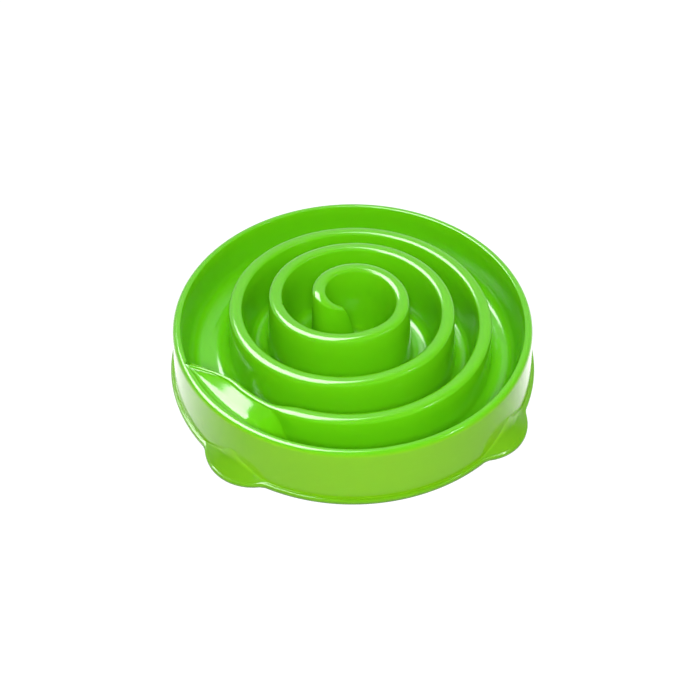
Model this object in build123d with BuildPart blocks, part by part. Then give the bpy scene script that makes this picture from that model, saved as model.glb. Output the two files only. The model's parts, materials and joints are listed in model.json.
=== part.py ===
"""Slow feeder bowl: a moulded bowl with a spiral ridge, standing on four rubber foot pads.

Millimetres, +Z up. The origin is on the floor under the bowl's axis.
"""
from build123d import *
import math
import os

# Bowl: heights above the floor, and radii from the bowl's axis
rim_height = 48.0
rim_radius = 135.0
skirt_flare = 4.0
flange_width = 2.8
flange_height = 4.0
wall = 2.2
lip_outer_radius = 3.6
lip_inner_radius = 2.4
floor_height = 10.0
inner_wall_draft = 6.0
floor_fillet_radius = 11.0

# Foot ears on the flange
ear_count = 4
ear_first_angle = -45.0
ear_reach = 9.4
ear_radius = 37.0
ear_edge_height = 2.4
ear_edge_radius = 1.6
ear_slope = 25.0
ear_blend_radius = 14.0

# Foot pads
pad_diameter = 11.0
pad_proud = 2.0
socket_depth = 2.0
socket_clearance = 0.1
pad_edge_radius = 0.8
pad_outer_wall = 2.0
pad_names = ("foot_pad_front_right", "foot_pad_back_right", "foot_pad_back_left", "foot_pad_front_left")

# Spiral ridge: tangent half circles about two centres, each one step smaller than the last
ridge_line_angle = 116.6
ridge_start_angle = 216.0
ridge_centre_x = 1.3
ridge_centre_y = -7.3
ridge_end_radius = 23.25
ridge_outer_step_share = 2.117
ridge_first_step_share = 0.66
ridge_step_shares = (0.90, 0.96, 1.08, 1.19, 0.62)
ridge_last_turn = 58.0
ridge_crest_radius = 3.0
ridge_draft = 5.0
ridge_root_share = 0.455
ridge_root_slope = 30.0
crest_outer_rise = 2.2
crest_inner_rise = 24.5
station_turn = 30.0

# Outer end of the ridge: a straight run into the wall, with a sloping web beside it
run_out_overrun = 14.55
run_out_drop = 8.0
run_out_stations = 4
web_end_angle = 237.0
web_slope = 23.0
web_sink = 2.5

# Inner end of the ridge: a hook that slopes down to the floor
hook_radius = 12.0
hook_turn = 85.0
hook_stations = 4
tail_length = 8.0
tail_stations = 2
tail_rise = 4.0
tail_root_share = 0.25

quarter_turn = 90.0
half_turn = 180.0

# Levels and radii that follow from the sizes above
foot_radius = rim_radius + skirt_flare
flange_radius = foot_radius + flange_width
flange_base = pad_proud
flange_top = flange_base + flange_height
floor_underside = floor_height - wall
floor_middle = floor_height - wall / 2
below_underside = floor_underside - wall / 2
lip_radius = rim_radius - lip_outer_radius
wall_top_radius = lip_radius - lip_inner_radius
wall_top = rim_height - lip_inner_radius
ridge_step = (wall_top_radius - ridge_end_radius) / (ridge_outer_step_share + sum(ridge_step_shares))
ridge_radius = wall_top_radius - ridge_step * ridge_outer_step_share
ridge_root_radius = ridge_step * ridge_root_share
wall_lean = math.tan(math.radians(inner_wall_draft))
wall_foot_radius = wall_top_radius - (wall_top - floor_height) * wall_lean
pad_radius = pad_diameter / 2
pad_height = pad_proud + socket_depth
ear_tip_radius = flange_radius + ear_reach
ear_centre_radius = ear_tip_radius - ear_radius
ear_neck_radius = foot_radius - wall / 2 - ear_centre_radius
pad_ring_radius = ear_tip_radius - pad_outer_wall - socket_clearance - pad_radius


def bowl_profile():
    """Half section of the bowl without its hollow underside."""
    lip_top = (lip_radius, rim_height)
    lip_outside = (rim_radius, rim_height - lip_outer_radius)
    lip_inside = (wall_top_radius, wall_top)
    with BuildSketch(Plane.XZ) as profile:
        with BuildLine():
            Polyline(
                lip_outside,
                (foot_radius, flange_top),
                (flange_radius, flange_top),
                (flange_radius, flange_base),
                (0, flange_base),
                (0, floor_height),
                (wall_foot_radius, floor_height),
                lip_inside,
            )
            RadiusArc(lip_inside, lip_top, lip_inner_radius)
            RadiusArc(lip_top, lip_outside, lip_outer_radius)
        make_face()
        foot = profile.vertices().sort_by_distance((wall_foot_radius, floor_height))[0]
        fillet(foot, floor_fillet_radius)
    return profile.sketch


def hollow_profile():
    """Half section of the hollow underside, one wall in from the bowl's faces."""
    hollow_top = rim_height - max(lip_outer_radius, lip_inner_radius) - wall
    skirt_lean = (foot_radius - rim_radius) / (rim_height - lip_outer_radius - flange_top)
    skirt_foot = foot_radius - wall + skirt_lean * flange_height
    skirt_head = skirt_foot - skirt_lean * (hollow_top - flange_base)
    back_foot = wall_foot_radius + wall
    back_head = back_foot + wall_lean * (hollow_top - floor_underside)
    with BuildSketch(Plane.XZ) as profile:
        with BuildLine():
            Polyline(
                (0, flange_base),
                (skirt_foot, flange_base),
                (skirt_head, hollow_top),
                (back_head, hollow_top),
                (back_foot, floor_underside),
                (0, floor_underside),
                close=True,
            )
        make_face()
        foot = profile.vertices().sort_by_distance((back_foot, floor_underside))[0]
        fillet(foot, floor_fillet_radius + wall)
    return profile.sketch


def ear_profile():
    """Half section of an ear about its own axis: thin edge, sloping brow, hollow sweep up to the wall."""
    slope = math.radians(ear_slope)
    blend_turn = math.radians(quarter_turn - ear_slope)
    blend_x = ear_neck_radius + ear_blend_radius * (1 - math.cos(blend_turn))
    brow_z = flange_base + ear_edge_height
    blend_z = brow_z + (ear_radius - blend_x) * math.tan(slope)
    neck_z = blend_z + ear_blend_radius * math.sin(blend_turn)
    brow = (ear_radius, brow_z)
    with BuildSketch(Plane.XZ) as profile:
        with BuildLine():
            Polyline(
                (ear_neck_radius, neck_z),
                (0, neck_z),
                (0, flange_base),
                (ear_radius, flange_base),
                brow,
                (blend_x, blend_z),
            )
            RadiusArc((blend_x, blend_z), (ear_neck_radius, neck_z), ear_blend_radius)
        make_face()
        fillet(profile.vertices().sort_by_distance(brow)[0], ear_edge_radius)
    return profile.sketch


def crest_height(point):
    """Height of the ridge's crest, which rises towards the bowl's axis."""
    inward_share = (first_radius - point.length) / (first_radius - last_radius)
    return rim_height + crest_outer_rise + (crest_inner_rise - crest_outer_rise) * inward_share


def ridge_section(station, inset, base):
    """Section across the ridge, drawn in by the inset: round crest, drafted flanks, flared root."""
    point, tangent, top, root_share = station
    outward = Vector(tangent.Y, -tangent.X, 0)
    section_plane = Plane(origin=(point.X, point.Y, 0), x_dir=outward, z_dir=-tangent)
    crest_radius = ridge_crest_radius - inset
    root_radius = ridge_root_radius * root_share + inset
    draft = math.radians(ridge_draft)
    root_end = math.radians(quarter_turn - ridge_root_slope)
    crest_x = crest_radius * math.cos(draft)
    crest_z = top - ridge_crest_radius + crest_radius * math.sin(draft)
    crest_top = top - inset
    root_z = base + root_radius * (math.sin(root_end) - math.sin(draft))
    root_x = crest_x + (crest_z - root_z) * math.tan(draft)
    foot_x = root_x + root_radius * (math.cos(draft) - math.cos(root_end))
    with BuildSketch(section_plane) as section:
        with BuildLine():
            Line((-foot_x, base), (foot_x, base))
            RadiusArc((foot_x, base), (root_x, root_z), root_radius)
            Line((root_x, root_z), (crest_x, crest_z))
            ThreePointArc((crest_x, crest_z), (0, crest_top), (-crest_x, crest_z))
            Line((-crest_x, crest_z), (-root_x, root_z))
            RadiusArc((-root_x, root_z), (-foot_x, base), root_radius)
        make_face()
    return section.sketch


# Plan of the ridge: straight run-out, half circles, hook and straight tail
line_angle = math.radians(ridge_line_angle)
line_direction = Vector(math.cos(line_angle), math.sin(line_angle))
first_step = ridge_step * ridge_first_step_share
first_radius = ridge_radius + first_step
first_centre = Vector(ridge_centre_x, ridge_centre_y) + line_direction * first_step
start_angle = math.radians(ridge_start_angle)
start_outward = Vector(math.cos(start_angle), math.sin(start_angle))
start_tangent = Vector(-math.sin(start_angle), math.cos(start_angle))
start_point = first_centre + start_outward * first_radius
run_out_lead = start_point.dot(start_tangent)
run_out_reach = math.sqrt(run_out_lead**2 - start_point.length**2 + rim_radius**2)
run_out_length = run_out_lead + run_out_reach + run_out_overrun
web_end = math.radians(web_end_angle)
web_end_outward = Vector(math.cos(web_end), math.sin(web_end))
turns = [(first_radius, ridge_line_angle + half_turn - ridge_start_angle)]
last_radius = ridge_radius
for share in ridge_step_shares:
    turns.append((last_radius, half_turn))
    last_radius -= ridge_step * share
turns.append((last_radius, ridge_last_turn))

with BuildLine() as ridge_plan:
    run_out = Line(start_point - start_tangent * run_out_length, start_point)
    arcs = []
    previous = run_out
    for arc_radius, arc_turn in turns:
        previous = JernArc(previous @ 1, previous % 1, arc_radius, arc_turn)
        arcs.append((previous, math.ceil(arc_turn / station_turn)))
    hook = JernArc(previous @ 1, previous % 1, hook_radius, hook_turn)
    tail = Line(hook @ 1, (hook @ 1) + (hook % 1) * tail_length)

# Stations along that plan: place, direction, crest height and share of the root flare
stations = []
for i in range(run_out_stations):
    along = i / run_out_stations
    point = run_out @ along
    stations.append((point, run_out % along, crest_height(start_point) - run_out_drop * (1 - along), 1))
for arc, count in arcs:
    for i in range(count):
        along = i / count
        stations.append((arc @ along, arc % along, crest_height(arc @ along), 1))
hook_top = crest_height(hook @ 0)
tail_top = floor_height + tail_rise
hook_length_share = hook.length / (hook.length + tail.length)
fall = [(hook, i / hook_stations, hook_length_share * i / hook_stations) for i in range(hook_stations)]
for i in range(tail_stations + 1):
    along = i / tail_stations
    fall.append((tail, along, hook_length_share + (1 - hook_length_share) * along))
for edge, along, fallen_share in fall:
    eased_share = (1 - math.cos(math.pi * fallen_share)) / 2
    top = hook_top + (tail_top - hook_top) * eased_share
    root_share = 1 + (tail_root_share - 1) * fallen_share
    stations.append((edge @ along, edge % along, top, root_share))


def inner_space(radial_depth):
    """Half section of the bowl's inside, reaching the given depth into its wall."""
    above = rim_height + 2 * crest_inner_rise
    foot = wall_foot_radius + radial_depth - wall_lean * floor_height
    head = foot + wall_lean * above
    with BuildSketch(Plane.XZ) as profile:
        with BuildLine():
            Polyline((0, 0), (foot, 0), (head, above), (0, above), close=True)
        make_face()
    return profile.sketch


def web_part(inset, base, radial_depth):
    """Web between the ridge's outer end and the wall, drawn in by the inset, with a round channel end."""
    ridge_end = first_centre + web_end_outward * first_radius
    channel_width = wall_top_radius - ridge_end.length - ridge_crest_radius
    end_centre = ridge_end + web_end_outward * (ridge_crest_radius + channel_width / 2)
    end_draft = (ridge_draft + inner_wall_draft) / 2
    end_radius = channel_width / 2 - (wall_top - base) * math.tan(math.radians(end_draft)) + inset
    web_top = crest_height(start_point) - web_sink - inset
    slope_radius = first_radius + rim_radius
    slope_foot = web_top - rim_radius * math.tan(math.radians(web_slope))
    slope_head = web_top + first_radius * math.tan(math.radians(web_slope))
    plan_plane = Plane.XY.offset(base)
    with BuildPart() as web:
        with BuildSketch(plan_plane):
            with BuildLine():
                RadiusArc(ridge_end, start_point, first_radius)
                Polyline(start_point, run_out @ 0, (run_out @ 0) * 2, ridge_end * 2, ridge_end)
            make_face()
        extrude(amount=rim_height)
        with BuildSketch(plan_plane):
            with Locations(end_centre):
                Circle(end_radius)
        extrude(amount=rim_height, taper=-end_draft, mode=Mode.SUBTRACT)
        with BuildSketch(Plane.XZ.move(Location(first_centre))):
            with BuildLine():
                Polyline((0, slope_head), (0, slope_foot), (slope_radius, slope_foot), close=True)
            make_face()
        revolve(axis=Axis(first_centre, (0, 0, 1)), mode=Mode.INTERSECT)
        add(inner_space(radial_depth))
        revolve(axis=Axis.Z, mode=Mode.INTERSECT)
    return web.part


with BuildPart() as ridge:
    loft([ridge_section(station, 0, floor_middle) for station in stations])
    add(inner_space(wall / 2))
    revolve(axis=Axis.Z, mode=Mode.INTERSECT)

with BuildPart() as ridge_core:
    loft([ridge_section(station, wall, below_underside) for station in stations])
    add(inner_space(wall + wall / 2))
    revolve(axis=Axis.Z, mode=Mode.INTERSECT)

ear_places = PolarLocations(ear_centre_radius, ear_count, start_angle=ear_first_angle)
pad_places = PolarLocations(pad_ring_radius, ear_count, start_angle=ear_first_angle)

with BuildPart() as ear:
    add(ear_profile())
    revolve(axis=Axis.Z)

with BuildPart() as ears:
    with ear_places:
        add(ear.part)
    with BuildSketch(Plane.XY.offset(flange_base)):
        Circle(foot_radius - wall)
    extrude(amount=rim_height, mode=Mode.SUBTRACT)

with BuildPart() as bowl:
    add(bowl_profile())
    revolve(axis=Axis.Z)
    add(ears.part)
    add(ridge.part)
    add(web_part(0, floor_middle, wall / 2))
    add(hollow_profile())
    revolve(axis=Axis.Z, mode=Mode.SUBTRACT)
    add(ridge_core.part, mode=Mode.SUBTRACT)
    add(web_part(wall, below_underside, wall + wall / 2), mode=Mode.SUBTRACT)
    with BuildSketch(Plane.XY.offset(floor_underside)):
        with Locations(tail @ 1):
            Circle(wall)
    extrude(amount=tail_top - wall / 2 - floor_underside)
    with BuildSketch(Plane.XY.offset(flange_base)):
        with pad_places:
            Circle(pad_radius + socket_clearance)
    extrude(amount=socket_depth, mode=Mode.SUBTRACT)
bowl.part.label = "bowl"

os.makedirs("parts", exist_ok=True)
export_step(bowl.part, "parts/bowl.step")

for pad_name, pad_place in zip(pad_names, pad_places):
    pad_plane = Plane(pad_place)
    with BuildPart() as foot_pad:
        with BuildSketch(pad_plane):
            Circle(pad_radius)
        extrude(amount=pad_height)
        fillet(foot_pad.edges().group_by(Axis.Z)[0], pad_edge_radius)
    foot_pad.part.label = pad_name
    export_step(foot_pad.part, f"parts/{pad_name}.step")
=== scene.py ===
"""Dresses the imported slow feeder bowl: the moulded bowl, its foot pads, and a plain studio."""

import json
import logging
import math
from dataclasses import dataclass, field
from enum import Enum
from typing import Any

import bmesh
import bpy
import numpy as np
from bmesh.types import BMEdge, BMesh, BMFace, BMVert
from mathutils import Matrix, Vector

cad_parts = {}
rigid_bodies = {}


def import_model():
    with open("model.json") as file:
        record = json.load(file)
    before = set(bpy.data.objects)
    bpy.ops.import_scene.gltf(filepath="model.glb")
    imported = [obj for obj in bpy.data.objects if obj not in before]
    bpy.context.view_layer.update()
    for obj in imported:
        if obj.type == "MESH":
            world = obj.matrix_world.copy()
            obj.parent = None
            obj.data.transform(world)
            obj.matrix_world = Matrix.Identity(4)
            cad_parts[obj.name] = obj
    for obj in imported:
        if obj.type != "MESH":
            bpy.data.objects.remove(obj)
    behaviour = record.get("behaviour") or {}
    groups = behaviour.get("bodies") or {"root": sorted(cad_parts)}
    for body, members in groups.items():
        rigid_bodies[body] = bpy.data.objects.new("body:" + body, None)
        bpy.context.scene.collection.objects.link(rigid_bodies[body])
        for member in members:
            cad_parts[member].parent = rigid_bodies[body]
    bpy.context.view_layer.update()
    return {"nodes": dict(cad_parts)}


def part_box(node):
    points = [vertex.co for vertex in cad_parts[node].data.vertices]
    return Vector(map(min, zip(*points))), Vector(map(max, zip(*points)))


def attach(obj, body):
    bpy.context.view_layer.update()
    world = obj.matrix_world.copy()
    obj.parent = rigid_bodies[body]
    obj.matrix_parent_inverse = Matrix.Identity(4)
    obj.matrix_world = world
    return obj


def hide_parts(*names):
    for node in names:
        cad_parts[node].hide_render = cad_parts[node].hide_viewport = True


for leftover in list(bpy.data.objects):
    bpy.data.objects.remove(leftover)
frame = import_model()

MM = 0.001
TURN = 2 * math.pi
WHITE = (1.0, 1.0, 1.0, 1.0)
# Largest share of a flank that the rounding at its foot may take.
FLANK_SHARE = 0.95
LOG = logging.getLogger("slow_feeder_bowl")
Colour = tuple[float, float, float]
Span = tuple[float, float]


class Slot(Enum):
    """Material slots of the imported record."""

    BOWL = "bowl_plastic"
    PAD = "pad_rubber"


class Body(Enum):
    """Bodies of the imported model."""

    ROOT = "root"


def smooth_step(value: float) -> float:
    """Returns value held between 0 and 1 and eased at both ends."""
    held = min(max(value, 0.0), 1.0)
    return held * held * (3 - 2 * held)


def fading(value: float, span: Span) -> float:
    """Returns 1 below the span, 0 above it, and an eased share inside it."""
    return 1 - smooth_step((value - span[0]) / (span[1] - span[0]))


def mix(low: float, high: float, share: float) -> float:
    """Returns the value that lies the given share of the way from low to high."""
    return low + (high - low) * share


def direction(angle: float) -> np.ndarray:
    """Returns the plan direction at an angle in radians."""
    return np.array([math.cos(angle), math.sin(angle)])


def spot(distance: float, angle: float, height: float) -> Vector:
    """Returns the place in metres at a distance, an angle and a height, in millimetres and radians."""
    return Vector((distance * math.cos(angle), distance * math.sin(angle), height)) * MM


def smooth_most(first: float, second: float, softness: float) -> float:
    """Returns the larger of two values, blended where they are within the softness of each other."""
    return (first + second + math.hypot(first - second, softness) - softness / 4) / 2


def round_corner(
    corner: np.ndarray, before: np.ndarray, after: np.ndarray, radius: float, count: int, reach_limit: float
) -> np.ndarray:
    """Rounds a corner of a section with an arc.

    Args:
        corner: The corner point.
        before: A point on the line that leads to the corner.
        after: A point on the line that leaves it.
        radius: Wished radius of the arc.
        count: Number of points on the arc.
        reach_limit: Longest stretch of either line that the arc may take.

    Returns:
        The arc's points, from the first line to the second.
    """
    back, forth = before - corner, after - corner
    back_length, forth_length = np.linalg.norm(back), np.linalg.norm(forth)
    back, forth = back / back_length, forth / forth_length
    half_angle = math.acos(float(np.clip(back @ forth, -1, 1))) / 2
    reach = min(radius / math.tan(half_angle), reach_limit, FLANK_SHARE * back_length)
    middle = back + forth
    centre = corner + middle / np.linalg.norm(middle) * reach / math.cos(half_angle)
    spoke = corner + back * reach - centre
    first = math.atan2(spoke[1], spoke[0])
    spoke = corner + forth * reach - centre
    swing = (math.atan2(spoke[1], spoke[0]) - first + math.pi) % TURN - math.pi
    angles = first + swing * np.linspace(0, 1, count)
    arc_radius = reach * math.tan(half_angle)
    return centre + arc_radius * np.stack([np.cos(angles), np.sin(angles)], axis=1)


def finished(bm: BMesh, name: str) -> bpy.types.Object:
    """Turns a mesh that is done into a smooth object at the origin.

    Args:
        bm: The mesh, which is freed.
        name: Name of the object.

    Returns:
        The object, in the scene.
    """
    for face in bm.faces:
        face.smooth = True
    mesh = bpy.data.meshes.new(name)
    bm.to_mesh(mesh)
    bm.free()
    made = bpy.data.objects.new(name, mesh)
    bpy.context.scene.collection.objects.link(made)
    return made


def add_node(
    tree: bpy.types.NodeTree, kind: str, inputs: dict[str | int, Any] | None = None, **settings: Any
) -> bpy.types.Node:
    """Adds a shader node.

    Args:
        tree: The tree that takes it.
        kind: Its kind.
        inputs: A socket to link or a value to set for each input, by the input's name or number.
        settings: Its other settings.

    Returns:
        The node.
    """
    node = tree.nodes.new(kind)
    for name, value in settings.items():
        setattr(node, name, value)
    for key, value in (inputs or {}).items():
        if isinstance(value, bpy.types.NodeSocket):
            tree.links.new(value, node.inputs[key])
        else:
            node.inputs[key].default_value = value
    return node


def mix_colours(
    tree: bpy.types.NodeTree, share: Any, first: Any, second: Any, blend: str = "MIX"
) -> bpy.types.NodeSocket:
    """Returns the result of a new node that mixes two colours, each of them a socket or a value."""
    inputs = {"Factor": share, "A": first, "B": second}
    return add_node(tree, "ShaderNodeMix", inputs, data_type="RGBA", blend_type=blend).outputs["Result"]


def spans(taken: Span, given: Span = (0.0, 1.0)) -> dict[str, Any]:
    """Returns the inputs of a Map Range node that turns one range of values into another."""
    return {"From Min": taken[0], "From Max": taken[1], "To Min": given[0], "To Max": given[1]}


@dataclass
class Piece:
    """A piece of the visual model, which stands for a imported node."""

    node: str

    def build(self) -> bpy.types.Object:
        """Builds the piece's mesh, which each kind of piece does in its own way."""
        raise NotImplementedError

    def dress(self, material: bpy.types.Material, slot: Slot) -> None:
        """Builds the piece and gives it its material and its place in the frame.

        Args:
            material: Its material.
            slot: The record's slot that its finish comes from; not used.
        """
        piece = self.build()
        piece.data.materials.append(material)
        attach(piece, Body.ROOT.value)
        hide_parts(self.node)
        LOG.info("%s: %d faces for %s", piece.name, len(piece.data.polygons), self.node)


@dataclass(frozen=True)
class Crest:
    """One crest in a section across the channel, in millimetres and degrees.

    Attributes:
        distance: Distance from the bowl's axis.
        height: Height of the crest's top.
        radius: Half the width of its round top.
        draft: Lean of its flank.
        root: Wished radius at the foot of its flank.
    """

    distance: float
    height: float
    radius: float
    draft: float
    root: float


@dataclass
class SpiralPlan:
    """Crest line of the spiral ridge: half circles about two centres, with a hook at the inner end.

    Lengths are in millimetres and angles in degrees. The running angles and the heading that are
    worked out are in radians.
    """

    # The half circles, which shrink by shares of a step.
    line_angle: float = 116.6
    centre: tuple[float, float] = (1.3, -7.3)
    radius: float = 96.4
    step: float = 15.4
    first_step_share: float = 0.66
    step_shares: tuple[float, ...] = (0.90, 0.96, 1.08, 1.19, 0.62)
    # The run-out, from where the ridge leaves it to where it meets the lip.
    start_angle: float = 216.0
    merge_angle: float = 196.5
    merge_radius: float = 131.4
    # The last arc, and the hook with its straight tail.
    last_turn: float = 60.0
    hook_radius: float = 11.0
    hook_turn: float = 105.0
    tail_length: float = 19.0
    # How finely the line is drawn, and the angle in radians to either side that gives its slope.
    points_per_degree: int = 2
    run_out_points: int = 60
    nudge: float = math.radians(1.5)
    # What is worked out: the line's points, and the place and heading at its end.
    angles: np.ndarray = field(init=False)
    radii: np.ndarray = field(init=False)
    end_point: np.ndarray = field(init=False)
    end_heading: float = field(init=False)

    def __post_init__(self) -> None:
        """Works out the crest line as polar radius against a running angle."""
        line = math.radians(self.line_angle)
        first_step = self.step * self.first_step_share
        radius = self.radius + first_step
        centre = np.array(self.centre) + first_step * direction(line)
        angle = math.radians(self.start_angle)
        turns = [(radius, self.line_angle + 180 - self.start_angle)]
        radius = self.radius
        for share in self.step_shares:
            turns.append((radius, 180.0))
            radius -= self.step * share
        turns.append((radius, self.last_turn))
        points = []
        for arc_radius, turn in turns:
            if points:
                centre = points[-1] - arc_radius * direction(angle)
            count = max(2, int(turn * self.points_per_degree))
            swept = angle + np.radians(np.linspace(0, turn, count))
            points.extend(centre + arc_radius * np.stack([np.cos(swept), np.sin(swept)], axis=1))
            angle = swept[-1]
        plan = np.array(points)
        angles = np.unwrap(np.arctan2(plan[:, 1], plan[:, 0]))
        angles += TURN * round((math.radians(self.start_angle) - angles[0]) / TURN)
        radii = np.hypot(plan[:, 0], plan[:, 1])
        merge = math.radians(self.merge_angle)
        share = np.linspace(1, 0, self.run_out_points, endpoint=False)
        out_angles = angles[0] + (merge - angles[0]) * share
        out_radii = radii[0] + (self.merge_radius - radii[0]) * share**2
        self.angles = np.concatenate([out_angles, angles])
        self.radii = np.concatenate([out_radii, radii])
        self.end_point = plan[-1]
        self.end_heading = angle + math.pi / 2

    def radius_at(self, angle: float) -> float:
        """Returns the crest line's distance from the bowl's axis at a running angle."""
        return float(np.interp(angle, self.angles, self.radii))

    def squareness(self, angle: float) -> float:
        """Returns how square the crest line stands to the bowl's radius, as a cosine."""
        rise = (self.radius_at(angle + self.nudge) - self.radius_at(angle - self.nudge)) / (2 * self.nudge)
        return 1 / math.hypot(1, rise / self.radius_at(angle))

    def hook_station(self, share: float) -> tuple[np.ndarray, float]:
        """Gives a place on the hook and its straight tail.

        Args:
            share: Share of the whole length from the end of the spiral.

        Returns:
            The place in plan, and the heading there in radians.
        """
        hook_length = self.hook_radius * math.radians(self.hook_turn)
        along = share * (hook_length + self.tail_length)
        turned = min(along, hook_length) / self.hook_radius
        centre = self.end_point + self.hook_radius * direction(self.end_heading + math.pi / 2)
        place = centre + self.hook_radius * direction(self.end_heading - math.pi / 2 + turned)
        heading = self.end_heading + turned
        straight = max(along - hook_length, 0.0)
        return place + straight * direction(heading), heading


@dataclass
class MouldedBowl(Piece):
    """The one-piece bowl: spiral channel and ridge, wall, lip, skirt, flange and ears.

    Lengths are in millimetres and angles in degrees.
    """

    # The channel, the lip and the inner wall.
    plan: SpiralPlan = field(default_factory=SpiralPlan)
    columns: int = 240
    floor_height: float = 10.0
    wall: float = 2.2
    lip_distance: float = 131.4
    lip_height: float = 48.0
    lip_inner_radius: float = 2.4
    lip_outer_radius: float = 3.6
    wall_draft: float = 6.0
    wall_root: float = 14.0
    # The ridge, and the web beside its outer end. A crest's radius is half its width.
    crest_radius: float = 4.8
    crest_rise_share: float = 0.47
    ridge_draft: float = 5.0
    ridge_root: float = 12.0
    crest_outer: tuple[float, float] = (104.4, 50.2)
    crest_inner: tuple[float, float] = (23.3, 72.5)
    step_down: float = 4.0
    step_angles: Span = (228.0, 242.0)
    web_outer_angles: Span = (224.0, 237.0)
    web_inner_angles: Span = (231.0, 244.0)
    web_crest_radius: float = 1.7
    run_out_radius: float = 0.6
    web_sink: float = 1.6
    web_slope: float = 23.0
    narrowest_section: float = 9.0
    # The last stretch of the ridge, and its hook.
    end_turn: float = 75.0
    end_draft: float = 2.5
    end_root: float = 3.5
    hook_stations: int = 26
    nose_share: float = 0.86
    nose_rise: float = 0.05
    hook_tip_share: float = 0.3
    hook_drop_share: float = 0.36
    hook_power: float = 1.6
    hook_steep_share: float = 0.6
    # The skirt's foot: the flange and the ears.
    foot_distance: float = 139.0
    flange_distance: float = 141.75
    flange_height: float = 6.0
    base_height: float = 2.0
    ear_count: int = 4
    ear_first_angle: float = 45.0
    ear_reach: float = 9.4
    ear_radius: float = 37.0
    ear_edge: float = 4.4
    ear_slope: float = 38.0
    ear_blend_radius: float = 14.0
    ear_blend_start: float = 23.7
    ear_flare: float = 5.0
    foot_softness: float = 1.2
    foot_rounds: int = 12
    foot_points: int = 12
    foot_power: float = 1.4
    # The foot's edge, the sole and the skirt's inner face.
    edge_radius: float = 1.2
    edge_swings: tuple[float, ...] = (30.0, 60.0, 90.0)
    sole_edge: float = 0.6
    sole_share: float = 0.6
    skirt_inner: float = 136.9
    skirt_top: float = 42.0
    skirt_shares: tuple[float, ...] = (0.3, 0.65, 1.0)
    wall_shares: tuple[float, ...] = (0.15, 0.35, 0.55, 0.75, 0.9, 0.97, 1.0)
    # How finely sections are drawn, and limits that the mesh keeps to.
    root_share: float = 0.48
    arc_points: int = 6
    flank_points: int = 2
    root_points: int = 7
    floor_points: int = 3
    weld: float = 0.02
    sliver: float = 0.01
    lip_tolerance: float = 0.05
    shell_limit: float = 1.3

    def half_rows(self) -> int:
        """Returns the number of section points from a crest to the foot of its flank."""
        return self.arc_points + self.flank_points + self.root_points

    def ridge_crest(self, angle: float) -> Crest:
        """Gives the ridge's crest at a running angle.

        Args:
            angle: Running angle in radians.

        Returns:
            The crest there, with the step down to the web and the slimmer inner end.
        """
        distance = self.plan.radius_at(angle)
        outer, inner = self.crest_outer, self.crest_inner
        height = mix(outer[1], inner[1], (outer[0] - min(distance, outer[0])) / (outer[0] - inner[0]))
        degrees = math.degrees(angle)
        stepped = fading(degrees, self.step_angles)
        height -= self.step_down * stepped
        start, meeting = self.plan.start_angle, self.plan.merge_angle
        merge = smooth_step((start - degrees) / (start - meeting))
        height = mix(height, self.lip_height, merge)
        ended = smooth_step(1 - (math.degrees(self.plan.angles[-1]) - degrees) / self.end_turn)
        return Crest(
            distance,
            height,
            mix(mix(self.crest_radius, self.web_crest_radius, stepped), self.run_out_radius, merge),
            mix(self.ridge_draft, self.end_draft, ended),
            mix(self.ridge_root, self.end_root, ended),
        )

    def outer_crest(self, angle: float) -> Crest:
        """Gives the crest on the channel's outer side.

        Args:
            angle: Running angle in radians.

        Returns:
            The bowl's lip in the first turn, and after that the ridge one turn before.
        """
        if angle < self.plan.angles[0] + TURN:
            return Crest(
                self.lip_distance, self.lip_height, self.lip_inner_radius, self.wall_draft, self.wall_root
            )
        return self.ridge_crest(angle - TURN)

    def crest_arc(self, crest: Crest) -> np.ndarray:
        """Draws half the round top of a crest.

        Args:
            crest: The crest.

        Returns:
            Distance from the crest's line and height of each point, from the top to where the flank
            starts.
        """
        angles = np.radians(np.linspace(0, 90 - crest.draft, self.arc_points))
        heights = crest.height - self.crest_rise_share * crest.radius * (1 - np.cos(angles))
        return np.stack([crest.radius * np.sin(angles), heights], axis=1)

    def flank_foot(self, crest: Crest, floor: float, slope: float = 0.0) -> np.ndarray:
        """Works out where a crest's flank meets the floor, before the corner there is rounded.

        Args:
            crest: The crest.
            floor: Height of the floor under the crest's edge.
            slope: Rise of the floor away from the crest.

        Returns:
            Distance from the crest's line and height of the corner.
        """
        start = self.crest_arc(crest)[-1]
        draft = math.tan(math.radians(crest.draft))
        across = (start[0] + (start[1] - floor + slope * crest.radius) * draft) / (1 + slope * draft)
        return np.array([across, floor + slope * (across - crest.radius)])

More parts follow.
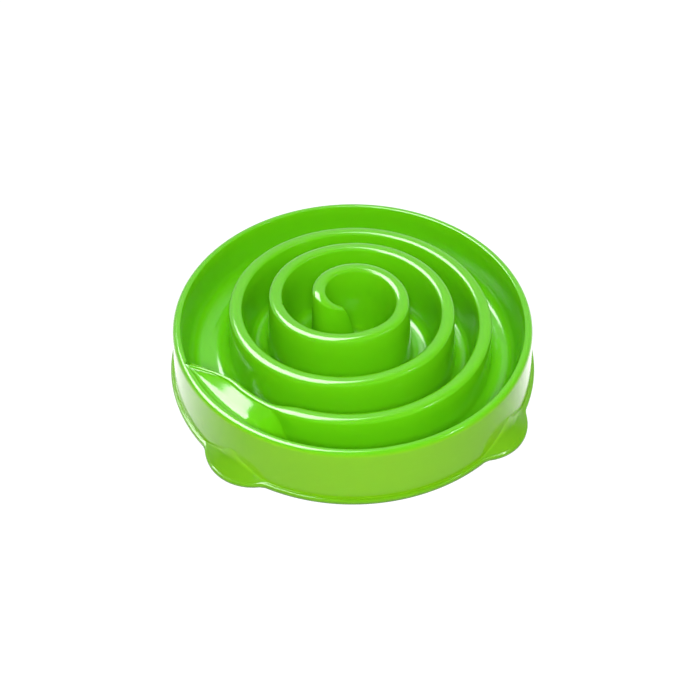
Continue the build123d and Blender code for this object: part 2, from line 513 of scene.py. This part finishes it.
    def channel_section(self, angle: float) -> np.ndarray:
        """Draws the section across the channel.

        Args:
            angle: Running angle in radians.

        Returns:
            Distance from the bowl's axis and height of each point, from the outer crest to the inner one.
        """
        outer, inner = self.outer_crest(angle), self.ridge_crest(angle)
        span = outer.distance - inner.distance
        square = self.plan.squareness(angle)
        width = max(span * square, self.narrowest_section)
        degrees = math.degrees(angle)
        web_top = inner.height - self.web_sink
        web_foot = web_top - width * math.tan(math.radians(self.web_slope))
        floor_out = mix(self.floor_height, web_foot, fading(degrees, self.web_outer_angles))
        floor_in = mix(self.floor_height, web_top, fading(degrees, self.web_inner_angles))
        lean = (floor_in - floor_out) / (width - outer.radius - inner.radius)
        mirror, shift = np.array([-1.0, 1.0]), np.array([width, 0.0])
        arc_out, arc_in = self.crest_arc(outer), self.crest_arc(inner) * mirror + shift
        corner_out = self.flank_foot(outer, floor_out, lean)
        corner_in = self.flank_foot(inner, floor_in, -lean) * mirror + shift
        limit = self.root_share * float(np.linalg.norm(corner_in - corner_out))
        root_out = round_corner(corner_out, arc_out[-1], corner_in, outer.root, self.root_points, limit)
        root_in = round_corner(corner_in, arc_in[-1], corner_out, inner.root, self.root_points, limit)
        section = np.concatenate(
            [
                arc_out,
                np.linspace(arc_out[-1], root_out[0], self.flank_points + 2)[1:-1],
                root_out,
                np.linspace(root_out[-1], root_in[-1], self.floor_points + 2)[1:-1],
                root_in[::-1],
                np.linspace(root_in[0], arc_in[-1], self.flank_points + 2)[1:-1],
                arc_in[::-1],
            ]
        )
        chord = outer.height + (inner.height - outer.height) * section[:, 0] / width
        squeeze = span * square / width
        heights = chord + (section[:, 1] - chord) * min(1.0, squeeze)
        return np.stack([outer.distance - section[:, 0] * span / width, heights], axis=1)

    def flank_section(self, crest: Crest, reach_limit: float) -> np.ndarray:
        """Draws half a ridge on the level floor, from its crest to the foot of its flank.

        Args:
            crest: The crest.
            reach_limit: Longest stretch of the floor that the foot's rounding may take.

        Returns:
            Distance from the crest's line and height of each point.
        """
        arc = self.crest_arc(crest)
        corner = self.flank_foot(crest, self.floor_height)
        level = corner + np.array([1.0, 0.0])
        root = round_corner(corner, arc[-1], level, crest.root, self.root_points, reach_limit)
        return np.concatenate([arc, np.linspace(arc[-1], root[0], self.flank_points + 2)[1:-1], root])

    def centre_section(self, angle: float) -> np.ndarray:
        """Draws the inner flank of the ridge's last turn, round the level floor in the middle.

        Args:
            angle: Running angle in radians.

        Returns:
            Distance from the bowl's axis and height of each point, from the crest to the foot.
        """
        crest = self.ridge_crest(angle - TURN)
        end = self.plan.angles[-1]
        square = self.plan.squareness(min(angle - TURN, end))
        free = smooth_step((angle - end) / math.radians(self.end_turn))
        outer, inner = self.ridge_crest(end - TURN), self.ridge_crest(end)
        gap = (outer.distance - inner.distance) * self.plan.squareness(end)
        for side in (outer, inner):
            gap -= self.flank_foot(side, self.floor_height)[0]
        half = self.flank_section(crest, mix(self.root_share * gap, crest.root, free))
        return np.stack([crest.distance - half[:, 0] / square, half[:, 1]], axis=1)

    def spin_channel(self, bm: BMesh, first: float, count: int, rows: int) -> None:
        """Spins a stretch of the channel about the axis and shapes each turn to its section.

        Args:
            bm: Mesh that takes the stretch.
            first: Running angle of its first column, in radians.
            count: Number of columns after the first.
            rows: Number of section points from the outer crest.
        """
        step = TURN / self.columns
        row_layer = bm.verts.layers.int.get("row") or bm.verts.layers.int.new("row")
        start = len(bm.verts)
        profile = [bm.verts.new((1.0 - row / rows, 0.0, 0.0)) for row in range(rows)]
        for row, vert in enumerate(profile):
            vert[row_layer] = row
        edges = [bm.edges.new(pair) for pair in zip(profile, profile[1:])]
        bmesh.ops.spin(
            bm, geom=profile + edges, axis=(0, 0, 1), cent=(0, 0, 0), angle=step * count, steps=count
        )
        bm.verts.index_update()
        bm.verts.ensure_lookup_table()
        for column in range(count + 1):
            angle = first + column * step
            section = self.channel_section(angle) if rows > self.half_rows() else self.centre_section(angle)
            for vert in bm.verts[start + column * rows:start + (column + 1) * rows]:
                distance, height = section[vert[row_layer]]
                vert.co = spot(distance, angle, height)

    def hook_section(self, share: float) -> np.ndarray:
        """Draws half a section of the hook, from its crest to its foot.

        Args:
            share: Share of the hook's length from the end of the spiral.

        Returns:
            Distance from the crest's line and height of each point.
        """
        crest = self.ridge_crest(self.plan.angles[-1])
        rise = (crest.height - self.floor_height) * (1 - self.hook_fall(share)) + self.nose_rise
        into_nose = max(0.0, (share - self.nose_share) / (1 - self.nose_share))
        nose = math.sqrt(max(1 - into_nose**2, self.nose_rise**2)) * mix(1.0, self.hook_tip_share, share)
        radius = min(crest.radius * nose, rise / 2)
        root = min(crest.root * nose, rise / 3)
        slim = Crest(0.0, self.floor_height + rise, radius, crest.draft, root)
        return self.flank_section(slim, crest.root)

    def hook_fall(self, share: float) -> float:
        """Returns the share of its height that the hook has lost, slowly at first and steeply later."""
        steep = smooth_step((share - self.hook_steep_share) / (1 - self.hook_steep_share))
        return min(1.0, self.hook_drop_share * share**self.hook_power + (1 - self.hook_drop_share) * steep)

    def sweep_hook(self, bm: BMesh, section: list[BMVert]) -> None:
        """Sweeps the ridge's last section along the hook by extruding it station by station.

        Args:
            bm: Mesh that holds the section.
            section: The section's points, from the outer foot over the crest to the inner foot.
        """
        for station in range(1, self.hook_stations + 1):
            share = station / self.hook_stations
            place, heading = self.plan.hook_station(share)
            half = self.hook_section(share)
            outward = np.array([math.sin(heading), -math.cos(heading)])
            edges = [bm.edges.get(pair) for pair in zip(section, section[1:])]
            made = bmesh.ops.extrude_edge_only(bm, edges=edges)["geom"]
            fresh = {item for item in made if isinstance(item, BMVert)}
            following = [
                next(e.other_vert(vert) for e in vert.link_edges if e.other_vert(vert) in fresh)
                for vert in section
            ]
            middle = len(section) // 2
            for index, vert in enumerate(following):
                across, height = half[abs(index - middle)]
                foot = place + outward * math.copysign(across, middle - index)
                vert.co = Vector((foot[0], foot[1], height)) * MM
            section = following

    def ear_rise(self, distance: float) -> float:
        """Works out the height of an ear's upper face.

        Args:
            distance: Distance from the ear's own axis.

        Returns:
            The height there.
        """
        slope = math.radians(self.ear_slope)
        turn = math.pi / 2 - slope
        blend_end = self.ear_blend_start + self.ear_blend_radius * (1 - math.cos(turn))
        blend_height = self.ear_edge + (self.ear_radius - blend_end) * math.tan(slope)
        if distance >= blend_end:
            return self.ear_edge + (self.ear_radius - distance) * math.tan(slope)
        inset = min(max((distance - self.ear_blend_start) / self.ear_blend_radius, 0.0), 1.0)
        swung = math.acos(1 - inset)
        return blend_height + self.ear_blend_radius * (math.sin(turn) - math.sin(swung))

    def foot_shape(self, angle: float) -> tuple[float, float, list[tuple[float, float]]]:
        """Gives the foot of the skirt at an angle about the bowl's axis.

        Args:
            angle: Angle in radians.

        Returns:
            Height where the foot meets the wall, distance of the foot's edge, and points of its upper face.
        """
        pitch = TURN / self.ear_count
        off = (angle - math.radians(self.ear_first_angle) + pitch / 2) % pitch - pitch / 2
        axis = self.flange_distance + self.ear_reach - self.ear_radius
        chord = self.ear_radius**2 - (axis * math.sin(off)) ** 2
        tip = axis * math.cos(off) + math.sqrt(chord) if chord > 0 else 0.0
        edge = max(self.flange_distance, tip)
        flared = smooth_step((tip - self.flange_distance) / self.ear_flare)
        brow = mix(self.flange_height, self.ear_edge, flared)

        def rise(distance: float) -> float:
            """Works out the height of the foot's upper face.

            Args:
                distance: Distance from the bowl's axis.

            Returns:
                The height there.
            """
            away = math.sqrt(distance**2 + axis**2 - 2 * distance * axis * math.cos(off))
            out = (distance - self.foot_distance) / (edge - self.edge_radius - self.foot_distance)
            return smooth_most(self.ear_rise(away), mix(self.flange_height, brow, out), self.foot_softness)

        meet = self.flange_height
        for _ in range(self.foot_rounds):
            meet = max(self.flange_height, min(rise(self.wall_distance(meet)), self.lip_height / 2))
        near = self.wall_distance(meet)
        shares = np.linspace(0, 1, self.foot_points + 1)[1:] ** self.foot_power
        face = []
        for share in shares:
            distance = near + (edge - self.edge_radius - near) * share
            face.append((distance, min(rise(distance), meet)))
        return meet, edge, face

    def wall_head(self) -> float:
        """Returns the height at which the lip's rounding goes over into the outer wall."""
        return self.lip_height - self.lip_outer_radius

    def wall_distance(self, height: float) -> float:
        """Returns the outer wall's distance from the axis at a height."""
        share = (self.wall_head() - height) / (self.wall_head() - self.flange_height)
        return mix(self.lip_distance + self.lip_outer_radius, self.foot_distance, share)

    def skirt_section(self, angle: float) -> list[tuple[float, float]]:
        """Draws the skirt's section below the lip's top: outer wall, foot, base and inner face.

        Args:
            angle: Angle about the bowl's axis, in radians.

        Returns:
            Distance from the axis and height of each ring's point.
        """
        head, bend = self.wall_head(), self.lip_outer_radius
        points = []
        for swing in np.radians(np.linspace(0, 90, self.arc_points + 1))[1:]:
            points.append((self.lip_distance + bend * math.sin(swing), head + bend * math.cos(swing)))
        meet, edge, face = self.foot_shape(angle)
        for share in self.wall_shares:
            height = mix(head, meet, share)
            points.append((self.wall_distance(height), height))
        points.extend(face)
        bend = self.edge_radius
        brow = face[-1][1] - bend
        for swing in np.radians(self.edge_swings):
            points.append((edge - bend * (1 - math.sin(swing)), brow + bend * math.cos(swing)))
        sole = self.base_height
        points += [
            (edge, sole + self.sole_edge),
            (edge - self.sole_edge, sole),
            (mix(edge, self.skirt_inner, self.sole_share), sole),
            (self.skirt_inner + self.sole_edge, sole),
            (self.skirt_inner, sole + self.sole_edge),
        ]
        for share in self.skirt_shares:
            height = mix(sole, self.skirt_top, share)
            points.append((self.wall_distance(height) - self.wall, height))
        return points

    def build(self) -> bpy.types.Object:
        """Builds the bowl's mesh.

        Returns:
            The bowl as an object at the origin.
        """
        bm = bmesh.new()
        step = TURN / self.columns
        first = self.plan.angles[0]
        full = math.ceil((self.plan.angles[-1] - first) / step)
        end = first + full * step
        rows = 2 * self.half_rows() + self.floor_points
        self.spin_channel(bm, first, full, rows)
        self.spin_channel(bm, end, self.columns, self.half_rows())
        bmesh.ops.remove_doubles(bm, verts=bm.verts[:], dist=self.weld * MM)
        self.sweep_hook(bm, self.ridge_end(bm, end))
        hole = [e for e in bm.edges if e.is_boundary and not self.on_lip(e)]
        filled = bmesh.ops.holes_fill(bm, edges=hole, sides=0)["faces"]
        bmesh.ops.triangulate(bm, faces=filled)
        bmesh.ops.dissolve_degenerate(bm, edges=bm.edges[:], dist=self.sliver * MM)
        bmesh.ops.recalc_face_normals(bm, faces=bm.faces[:])
        rim = [e for e in bm.edges if e.is_boundary and self.on_lip(e)]
        back_rim = self.back_face(bm, rim)
        skirt = [self.skirt_section(first + column * step) for column in range(self.columns)]
        ring = rim
        for row in range(len(skirt[0])):
            ring = self.extrude_ring(bm, ring, [section[row] for section in skirt])
        bmesh.ops.bridge_loops(bm, edges=ring + back_rim)
        return finished(bm, "moulded_bowl")

    def on_lip(self, edge: BMEdge) -> bool:
        """Returns whether an edge lies on the top of the bowl's lip."""
        distance, height = ((top - self.lip_tolerance) * MM for top in (self.lip_distance, self.lip_height))
        return all(math.hypot(v.co.x, v.co.y) > distance and v.co.z > height for v in edge.verts)

    def ridge_end(self, bm: BMesh, angle: float) -> list[BMVert]:
        """Finds the ridge's last section.

        Args:
            bm: Mesh of the channel.
            angle: Running angle of the section, in radians.

        Returns:
            Its points, from the outer foot over the crest to the inner foot.
        """
        inside = self.channel_section(angle)[-self.half_rows():]
        behind = self.centre_section(angle + TURN)
        found = []
        for distance, height in np.concatenate([inside, behind[1:]]):
            target = spot(distance, angle, height)
            found.append(min(bm.verts, key=lambda v: (v.co - target).length_squared))
        return found

    def back_face(self, bm: BMesh, rim: list[BMEdge]) -> list[BMEdge]:
        """Gives the channel its thickness by copying its faces one wall below.

        Args:
            bm: Mesh of the channel.
            rim: Edges along the top of the lip.

        Returns:
            The copy's edges under the lip.
        """
        bm.normal_update()
        lowered = {}
        for vert in bm.verts:
            thickness = self.wall * MM * min(vert.calc_shell_factor(), self.shell_limit)
            lowered[vert] = vert.co - vert.normal * thickness
        copy = bmesh.ops.duplicate(bm, geom=bm.verts[:] + bm.edges[:] + bm.faces[:])
        twin = copy["vert_map"]
        for vert, place in lowered.items():
            twin[vert].co = place
        bmesh.ops.reverse_faces(bm, faces=[f for f in copy["geom"] if isinstance(f, BMFace)])
        return [bm.edges.get((twin[e.verts[0]], twin[e.verts[1]])) for e in rim]

    def extrude_ring(
        self, bm: BMesh, ring: list[BMEdge], places: list[tuple[float, float]]
    ) -> list[BMEdge]:
        """Extrudes one ring of the skirt and sets it to its section.

        Args:
            bm: Mesh of the bowl.
            ring: Edges of the ring before.
            places: Distance from the axis and height of the ring in each column.

        Returns:
            The new ring's edges.
        """
        made = bmesh.ops.extrude_edge_only(bm, edges=ring)["geom"]
        fresh = {v for v in made if isinstance(v, BMVert)}
        for vert in fresh:
            angle = math.atan2(vert.co.y, vert.co.x)
            column = round((angle - self.plan.angles[0]) * self.columns / TURN) % self.columns
            distance, height = places[column]
            vert.co = spot(distance, angle, height)
        edges = [e for e in made if isinstance(e, BMEdge)]
        return [e for e in edges if all(v in fresh for v in e.verts)]


@dataclass
class FootPad(Piece):
    """A rubber pad set in the underside of an ear, with a round groove in its tread.

    Lengths are in millimetres and angles in degrees.
    """

    radius: float = 5.5
    groove_radius: float = 3.3
    groove_width: float = 0.7
    groove_depth: float = 0.4
    edge_radius: float = 0.8
    edge_segments: int = 4
    # How near its edge a point has to lie to be on it, and the angle from which edges stay sharp.
    edge_tolerance: float = 0.1
    sharp_angle: float = 40.0
    steps: int = 64
    weld: float = 0.001

    def build(self) -> bpy.types.Object:
        """Spins the pad's section about its own axis and rounds its edges.

        Returns:
            The pad as an object at the origin, with its place in its mesh.
        """
        low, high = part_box(self.node)
        middle = (low + high) / 2
        height = (high.z - low.z) / MM
        inside = self.groove_radius - self.groove_width / 2
        outside = self.groove_radius + self.groove_width / 2
        section = (
            (0.0, height),
            (self.radius, height),
            (self.radius, 0.0),
            (outside, 0.0),
            (outside - self.groove_depth / 2, self.groove_depth),
            (inside + self.groove_depth / 2, self.groove_depth),
            (inside, 0.0),
            (0.0, 0.0),
        )
        bm = bmesh.new()
        verts = [bm.verts.new((x * MM, 0.0, z * MM)) for x, z in section]
        edges = [bm.edges.new(pair) for pair in zip(verts, verts[1:])]
        line = verts + edges
        bmesh.ops.spin(
            bm, geom=line, axis=(0, 0, 1), cent=(0, 0, 0), angle=TURN, steps=self.steps, use_merge=True
        )
        bmesh.ops.remove_doubles(bm, verts=bm.verts[:], dist=self.weld * MM)
        bmesh.ops.recalc_face_normals(bm, faces=bm.faces[:])
        tread = [e for e in bm.edges if all(self.on_tread_edge(v.co) for v in e.verts)]
        bmesh.ops.bevel(
            bm,
            geom=tread,
            offset=self.edge_radius * MM,
            offset_type="OFFSET",
            affect="EDGES",
            segments=self.edge_segments,
            profile=0.5,
            material=-1,
        )
        bmesh.ops.translate(bm, verts=bm.verts[:], vec=(middle.x, middle.y, low.z))
        pad = finished(bm, self.node + "_tread")
        pad.data.set_sharp_from_angle(angle=math.radians(self.sharp_angle))
        return pad

    def on_tread_edge(self, place: Vector) -> bool:
        """Returns whether a point lies on the outer edge of the tread."""
        outside = math.hypot(place.x, place.y) > (self.radius - self.edge_tolerance) * MM
        return outside and place.z < self.edge_tolerance * MM


class SurfaceGroups:
    """Shader node groups that the finishes share."""

    # Levels of noise between which a rub mark sets in, and its stretch along each axis.
    RUB_SPAN = (0.62, 0.72)
    RUB_STRETCH = (0.25, 1.0, 1.0)

    def __init__(self) -> None:
        """Builds the groups."""
        self.moulding = self.moulding_marks()
        self.outside = self.painted_light_and_shade_mask()

    @staticmethod
    def new_group(name: str, inputs: list[str], outputs: list[str]) -> bpy.types.NodeTree:
        """Makes an empty group whose sockets are numbers.

        Args:
            name: Name of the group.
            inputs: Names of its inputs.
            outputs: Names of its outputs.

        Returns:
            The group.
        """
        group = bpy.data.node_groups.new(name, "ShaderNodeTree")
        for side, sockets in (("INPUT", inputs), ("OUTPUT", outputs)):
            for socket in sockets:
                group.interface.new_socket(socket, in_out=side, socket_type="NodeSocketFloat")
        return group

    def moulding_marks(self) -> bpy.types.NodeTree:
        """Builds fine ripple, soft mottle and sparse rub marks.

        Returns:
            A group with the inputs Ripple Scale, Mottle Scale and Rub Scale, and the outputs Ripple,
            Mottle and Rub.
        """
        details = {"Ripple": 2.0, "Mottle": 4.0, "Rub": 6.0}
        group = self.new_group("moulding_marks", [name + " Scale" for name in details], list(details))
        inputs, outputs = group.nodes.new("NodeGroupInput"), group.nodes.new("NodeGroupOutput")
        place = add_node(group, "ShaderNodeTexCoord").outputs["Object"]
        mapping = add_node(group, "ShaderNodeMapping", {"Vector": place, "Scale": self.RUB_STRETCH})
        for name, detail in details.items():
            where = mapping.outputs["Vector"] if name == "Rub" else place
            drawn = {"Vector": where, "Scale": inputs.outputs[name + " Scale"], "Detail": detail}
            mark = add_node(group, "ShaderNodeTexNoise", drawn).outputs["Fac"]
            if name == "Rub":
                sparse = add_node(group, "ShaderNodeMapRange", {"Value": mark, **spans(self.RUB_SPAN)})
                mark = sparse.outputs["Result"]
            group.links.new(mark, outputs.inputs[name])
        return group

    def painted_light_and_shade_mask(self) -> bpy.types.NodeTree:
        """Builds a mask that rises from 0 to 1 with the distance from the upright axis, for the painted
        light and shade tints.

        Returns:
            A group with the inputs Inner and Outer, in metres, and the output Outside.
        """
        group = self.new_group("painted_light_and_shade_mask", ["Inner", "Outer"], ["Outside"])
        inputs, outputs = group.nodes.new("NodeGroupInput"), group.nodes.new("NodeGroupOutput")
        place = add_node(group, "ShaderNodeTexCoord").outputs["Object"]
        flattened = {0: place, 1: (1.0, 1.0, 0.0)}
        level = add_node(group, "ShaderNodeVectorMath", flattened, operation="MULTIPLY")
        length = add_node(group, "ShaderNodeVectorMath", {0: level.outputs["Vector"]}, operation="LENGTH")
        span = spans((inputs.outputs["Inner"], inputs.outputs["Outer"]))
        eased = {"Value": length.outputs["Value"], **span}
        share = add_node(group, "ShaderNodeMapRange", eased, interpolation_type="SMOOTHSTEP")
        group.links.new(share.outputs["Result"], outputs.inputs["Outside"])
        return group


@dataclass(frozen=True)
class Finish:
    """A finish of moulded stuff. Colours are linear, and lengths are in metres."""

    name: str
    # The colour, what the darkest mottle multiplies it by, and the pale veil on rub marks.
    colour: Colour
    mottle_shade: Colour
    rub_veil: Colour
    # Painted light and shade: the outer wall's yellower tint stands in for the brighter light on it, and
    # the flange's and ears' deeper tint for the shade on them, each with the distances from the axis
    # between which it sets in.
    painted_light_outer_colour: Colour
    outside: Span
    painted_shade_foot_colour: Colour
    foot: Span
    # The gloss, clean and on rub marks.
    roughness: float
    rub_roughness: float
    ior: float
    # The height of the fine ripple, and the scale of each mark.
    ripple: float
    ripple_scale: float
    mottle_scale: float
    rub_scale: float
    # The share of the light that scatters inside, how far, and each colour's share of that.
    depth_share: float = 0.0
    depth: float = 0.001
    depth_shares: Colour = (1.0, 1.0, 1.0)

    def material(self, groups: SurfaceGroups) -> bpy.types.Material:
        """Builds the material.

        Args:
            groups: The shared node groups.

        Returns:
            The material.
        """
        made = bpy.data.materials.new(self.name)
        made.use_nodes = True
        tree = made.node_tree
        scales = {
            "Ripple Scale": self.ripple_scale,
            "Mottle Scale": self.mottle_scale,
            "Rub Scale": self.rub_scale,
        }
        marks = add_node(tree, "ShaderNodeGroup", scales, node_tree=groups.moulding).outputs
        colour = (*self.colour, 1.0)
        # Painted light and shade: a yellower tint on the outer wall for its brighter light, and a deeper
        # tint on the flange and ears for their shade.
        for other, (inner, outer) in ((self.painted_light_outer_colour, self.outside), (self.painted_shade_foot_colour, self.foot)):
            reach = {"Inner": inner, "Outer": outer}
            mask = add_node(tree, "ShaderNodeGroup", reach, node_tree=groups.outside)
            colour = mix_colours(tree, mask.outputs["Outside"], colour, (*other, 1.0))
        shade = mix_colours(tree, marks["Mottle"], (*self.mottle_shade, 1.0), WHITE)
        colour = mix_colours(tree, 1.0, colour, shade, "MULTIPLY")
        colour = mix_colours(tree, marks["Rub"], colour, (*self.rub_veil, 1.0), "SCREEN")
        span = spans((0.0, 1.0), (self.roughness, self.rub_roughness))
        dull = add_node(tree, "ShaderNodeMapRange", {"Value": marks["Rub"], **span})
        bump = add_node(tree, "ShaderNodeBump", {"Height": marks["Ripple"], "Distance": self.ripple})
        shader = tree.nodes["Principled BSDF"]
        tree.links.new(colour, shader.inputs["Base Color"])
        tree.links.new(dull.outputs["Result"], shader.inputs["Roughness"])
        tree.links.new(bump.outputs["Normal"], shader.inputs["Normal"])
        shader.inputs["IOR"].default_value = self.ior
        shader.inputs["Subsurface Weight"].default_value = self.depth_share
        shader.inputs["Subsurface Radius"].default_value = self.depth_shares
        shader.inputs["Subsurface Scale"].default_value = self.depth
        return made


BOWL_FINISH = Finish(
    name="green_gloss_plastic",
    colour=(0.135, 0.550, 0.004),
    mottle_shade=(0.92, 0.955, 0.80),
    rub_veil=(0.012, 0.020, 0.004),
    # Painted light: the yellower tint on the outer wall, for its brighter light.
    painted_light_outer_colour=(0.224, 0.557, 0.007),
    outside=(0.1332, 0.1352),
    # Painted shade: the deeper tint on the flange and ears.
    painted_shade_foot_colour=(0.154, 0.435, 0.003),
    foot=(0.1381, 0.1402),
    roughness=0.15,
    rub_roughness=0.24,
    ior=1.49,
    ripple=0.00002,
    ripple_scale=220.0,
    mottle_scale=26.0,
    rub_scale=120.0,
    depth_share=0.25,
    depth=0.004,
    depth_shares=(0.6, 1.0, 0.1),
)
PAD_FINISH = Finish(
    name="black_pad_rubber",
    colour=(0.012, 0.012, 0.012),
    mottle_shade=(0.5, 0.5, 0.5),
    rub_veil=(0.025, 0.024, 0.022),
    painted_light_outer_colour=(0.010, 0.010, 0.010),
    outside=(0.14, 0.15),
    painted_shade_foot_colour=(0.010, 0.010, 0.010),
    foot=(0.15, 0.16),
    roughness=0.62,
    rub_roughness=0.8,
    ior=1.5,
    ripple=0.00008,
    ripple_scale=1500.0,
    mottle_scale=200.0,
    rub_scale=500.0,
)


@dataclass(frozen=True)
class Lamp:
    """A soft square lamp that faces the bowl, in degrees, metres and watts.

    Its azimuth is 0 on the -Y side. It can light surfaces, and it can be mirrored in them.
    """

    name: str
    azimuth: float
    elevation: float
    distance: float
    size: float
    watts: float
    lights: bool
    mirrored: bool


LAMPS = (
    Lamp("front_fill", -8.0, 48.0, 1.3, 0.35, 15.0, True, False),
    Lamp("back_fill", 165.0, 38.0, 1.4, 0.9, 5.0, True, False),
    Lamp("main_softbox", -124.0, 62.0, 1.4, 1.1, 62.0, False, True),
    Lamp("side_sparkle", 60.0, 50.0, 1.4, 0.12, 1.8, False, True),
)


@dataclass
class Studio:
    """Pale floor, soft lamps and the camera at the photograph's angle.

    Lengths are in metres and angles in degrees.
    """

    # The camera, and the place that it and the lamps face.
    target: tuple[float, float, float] = (0.0, 0.0, 0.048)
    azimuth: float = -8.0
    elevation: float = 43.92
    distance: float = 0.675
    lens: float = 45.98
    shift: tuple[float, float] = (-0.0038, -0.056)
    # The floor, its glow to the camera, and its glow in reflections, which changes along Y as a painted
    # shadow: dim at the front, where the bowl's shadow falls, and bright at the back.
    floor_size: float = 12.0
    floor_gap: float = 0.00005
    floor_white: float = 0.4
    floor_roughness: float = 0.9
    floor_specular: float = 0.1
    floor_glow: float = 1.25
    floor_glow_share: float = 0.8
    floor_painted_shadow_glow: Span = (0.55, 2.2)
    floor_painted_shadow_from: Span = (-0.13, -0.03)
    # The surround's light, and its brightness in reflections, which changes along Y.
    horizon: float = 0.25
    overhead: float = 0.5
    overhead_from: float = 0.6
    mirrored: Span = (0.2, 1.0)
    mirrored_from: Span = (0.1, 0.6)

    def build_floor(self) -> None:
        """Builds the floor, which looks nearly white, keeps a faint shadow and is clear from below."""
        bm = bmesh.new()
        bmesh.ops.create_grid(bm, x_segments=1, y_segments=1, size=self.floor_size / 2)
        bmesh.ops.translate(bm, verts=bm.verts[:], vec=(0.0, 0.0, -self.floor_gap))
        floor = finished(bm, "studio_floor")
        floor.data.materials.append(self.floor_material())

    def floor_material(self) -> bpy.types.Material:
        """Builds the floor's material.

        Returns:
            The material: matt, with a glow to the camera and in reflections, where a painted shadow dims it
                at the front, and clear from below.
        """
        made = bpy.data.materials.new("pale_floor")
        made.use_nodes = True
        tree = made.node_tree
        matt = tree.nodes["Principled BSDF"]
        matt.inputs["Base Color"].default_value = (*3 * (self.floor_white,), 1.0)
        matt.inputs["Roughness"].default_value = self.floor_roughness
        matt.inputs["Specular IOR Level"].default_value = self.floor_specular
        seen = add_node(tree, "ShaderNodeLightPath").outputs
        place = add_node(tree, "ShaderNodeTexCoord").outputs["Object"]
        parts = add_node(tree, "ShaderNodeSeparateXYZ", {"Vector": place})
        # Painted shadow: the glow seen in reflections is dimmer at the front, where the bowl's shadow
        # falls.
        eased = {"Value": parts.outputs["Y"], **spans(self.floor_painted_shadow_from, self.floor_painted_shadow_glow)}
        painted_shadow = add_node(tree, "ShaderNodeMapRange", eased, interpolation_type="SMOOTHSTEP")
        levels = {"Factor": seen["Is Glossy Ray"], "A": self.floor_glow, "B": painted_shadow.outputs["Result"]}
        strength = add_node(tree, "ShaderNodeMix", levels)
        glow = add_node(tree, "ShaderNodeEmission", {"Strength": strength.outputs["Result"]})
        rays = {0: seen["Is Camera Ray"], 1: seen["Is Glossy Ray"]}
        either = add_node(tree, "ShaderNodeMath", rays, operation="MAXIMUM").outputs["Value"]
        glowing = {0: either, 1: self.floor_glow_share}
        share = add_node(tree, "ShaderNodeMath", glowing, operation="MULTIPLY")
        sides = {"Fac": share.outputs["Value"], 1: matt.outputs["BSDF"], 2: glow.outputs["Emission"]}
        lit = add_node(tree, "ShaderNodeMixShader", sides)
        below = add_node(tree, "ShaderNodeNewGeometry").outputs["Backfacing"]
        clear = add_node(tree, "ShaderNodeBsdfTransparent").outputs["BSDF"]
        sided = add_node(tree, "ShaderNodeMixShader", {"Fac": below, 1: lit.outputs["Shader"], 2: clear})
        tree.links.new(sided.outputs["Shader"], tree.nodes["Material Output"].inputs["Surface"])
        return made

    def build_world(self) -> None:
        """Sets a surround that is white to the camera and pale at the back in reflections."""
        world = bpy.data.worlds.new("studio_surround")
        bpy.context.scene.world = world
        world.use_nodes = True
        tree = world.node_tree
        place = add_node(tree, "ShaderNodeTexCoord").outputs["Generated"]
        parts = add_node(tree, "ShaderNodeSeparateXYZ", {"Vector": place}).outputs
        eased = {"Value": parts["Z"], **spans((0.0, self.overhead_from), (self.horizon, self.overhead))}
        sky = add_node(tree, "ShaderNodeMapRange", eased, interpolation_type="SMOOTHSTEP")
        even = {"Value": parts["Y"], **spans(self.mirrored_from, self.mirrored)}
        pale = add_node(tree, "ShaderNodeMapRange", even)
        seen = add_node(tree, "ShaderNodeLightPath").outputs
        level = sky
        for ray, other in (("Is Glossy Ray", pale.outputs["Result"]), ("Is Camera Ray", 1.0)):
            levels = {"Factor": seen[ray], "A": level.outputs["Result"], "B": other}
            level = add_node(tree, "ShaderNodeMix", levels)
        surround = tree.nodes["Background"]
        surround.inputs["Color"].default_value = WHITE
        tree.links.new(level.outputs["Result"], surround.inputs["Strength"])

    def hang(
        self, data: bpy.types.ID, azimuth: float, elevation: float, distance: float
    ) -> bpy.types.Object:
        """Places a lamp or a camera so that it faces the target.

        Args:
            data: The lamp's or the camera's data.
            azimuth: Its azimuth in degrees, with 0 on the -Y side.
            elevation: Its elevation in degrees.
            distance: Its distance from the target.

        Returns:
            The lamp or the camera.
        """
        a, e = math.radians(azimuth), math.radians(elevation)
        towards = Vector((math.sin(a) * math.cos(e), -math.cos(a) * math.cos(e), math.sin(e)))
        made = bpy.data.objects.new(data.name, data)
        made.location = Vector(self.target) + towards * distance
        made.rotation_mode = "QUATERNION"
        made.rotation_quaternion = (-towards).to_track_quat("-Z", "Y")
        bpy.context.scene.collection.objects.link(made)
        return made

    def build_lamp(self, lamp: Lamp) -> None:
        """Hangs a lamp.

        Args:
            lamp: The lamp's place, size and power.
        """
        data = bpy.data.lights.new(lamp.name, "AREA")
        data.shape = "SQUARE"
        data.size = lamp.size
        data.energy = lamp.watts
        made = self.hang(data, lamp.azimuth, lamp.elevation, lamp.distance)
        made.visible_diffuse = lamp.lights
        made.visible_glossy = lamp.mirrored

    def build_camera(self) -> None:
        """Places the camera."""
        data = bpy.data.cameras.new("photo_camera")
        data.lens = self.lens
        data.shift_x, data.shift_y = self.shift
        bpy.context.scene.camera = self.hang(data, self.azimuth, self.elevation, self.distance)

    def build(self) -> None:
        """Builds the whole studio."""
        self.build_floor()
        self.build_world()
        for lamp in LAMPS:
            self.build_lamp(lamp)
        self.build_camera()
        bpy.context.scene.view_settings.view_transform = "Standard"


def main() -> None:
    """Builds and dresses every piece, then the studio."""
    logging.basicConfig(level=logging.INFO, format="%(name)s: %(message)s")
    groups = SurfaceGroups()
    MouldedBowl("bowl").dress(BOWL_FINISH.material(groups), Slot.BOWL)
    rubber = PAD_FINISH.material(groups)
    for node in sorted(name for name in frame["nodes"] if name.startswith("foot_pad")):
        FootPad(node).dress(rubber, Slot.PAD)
    Studio().build()


if __name__ == "__main__":
    main()
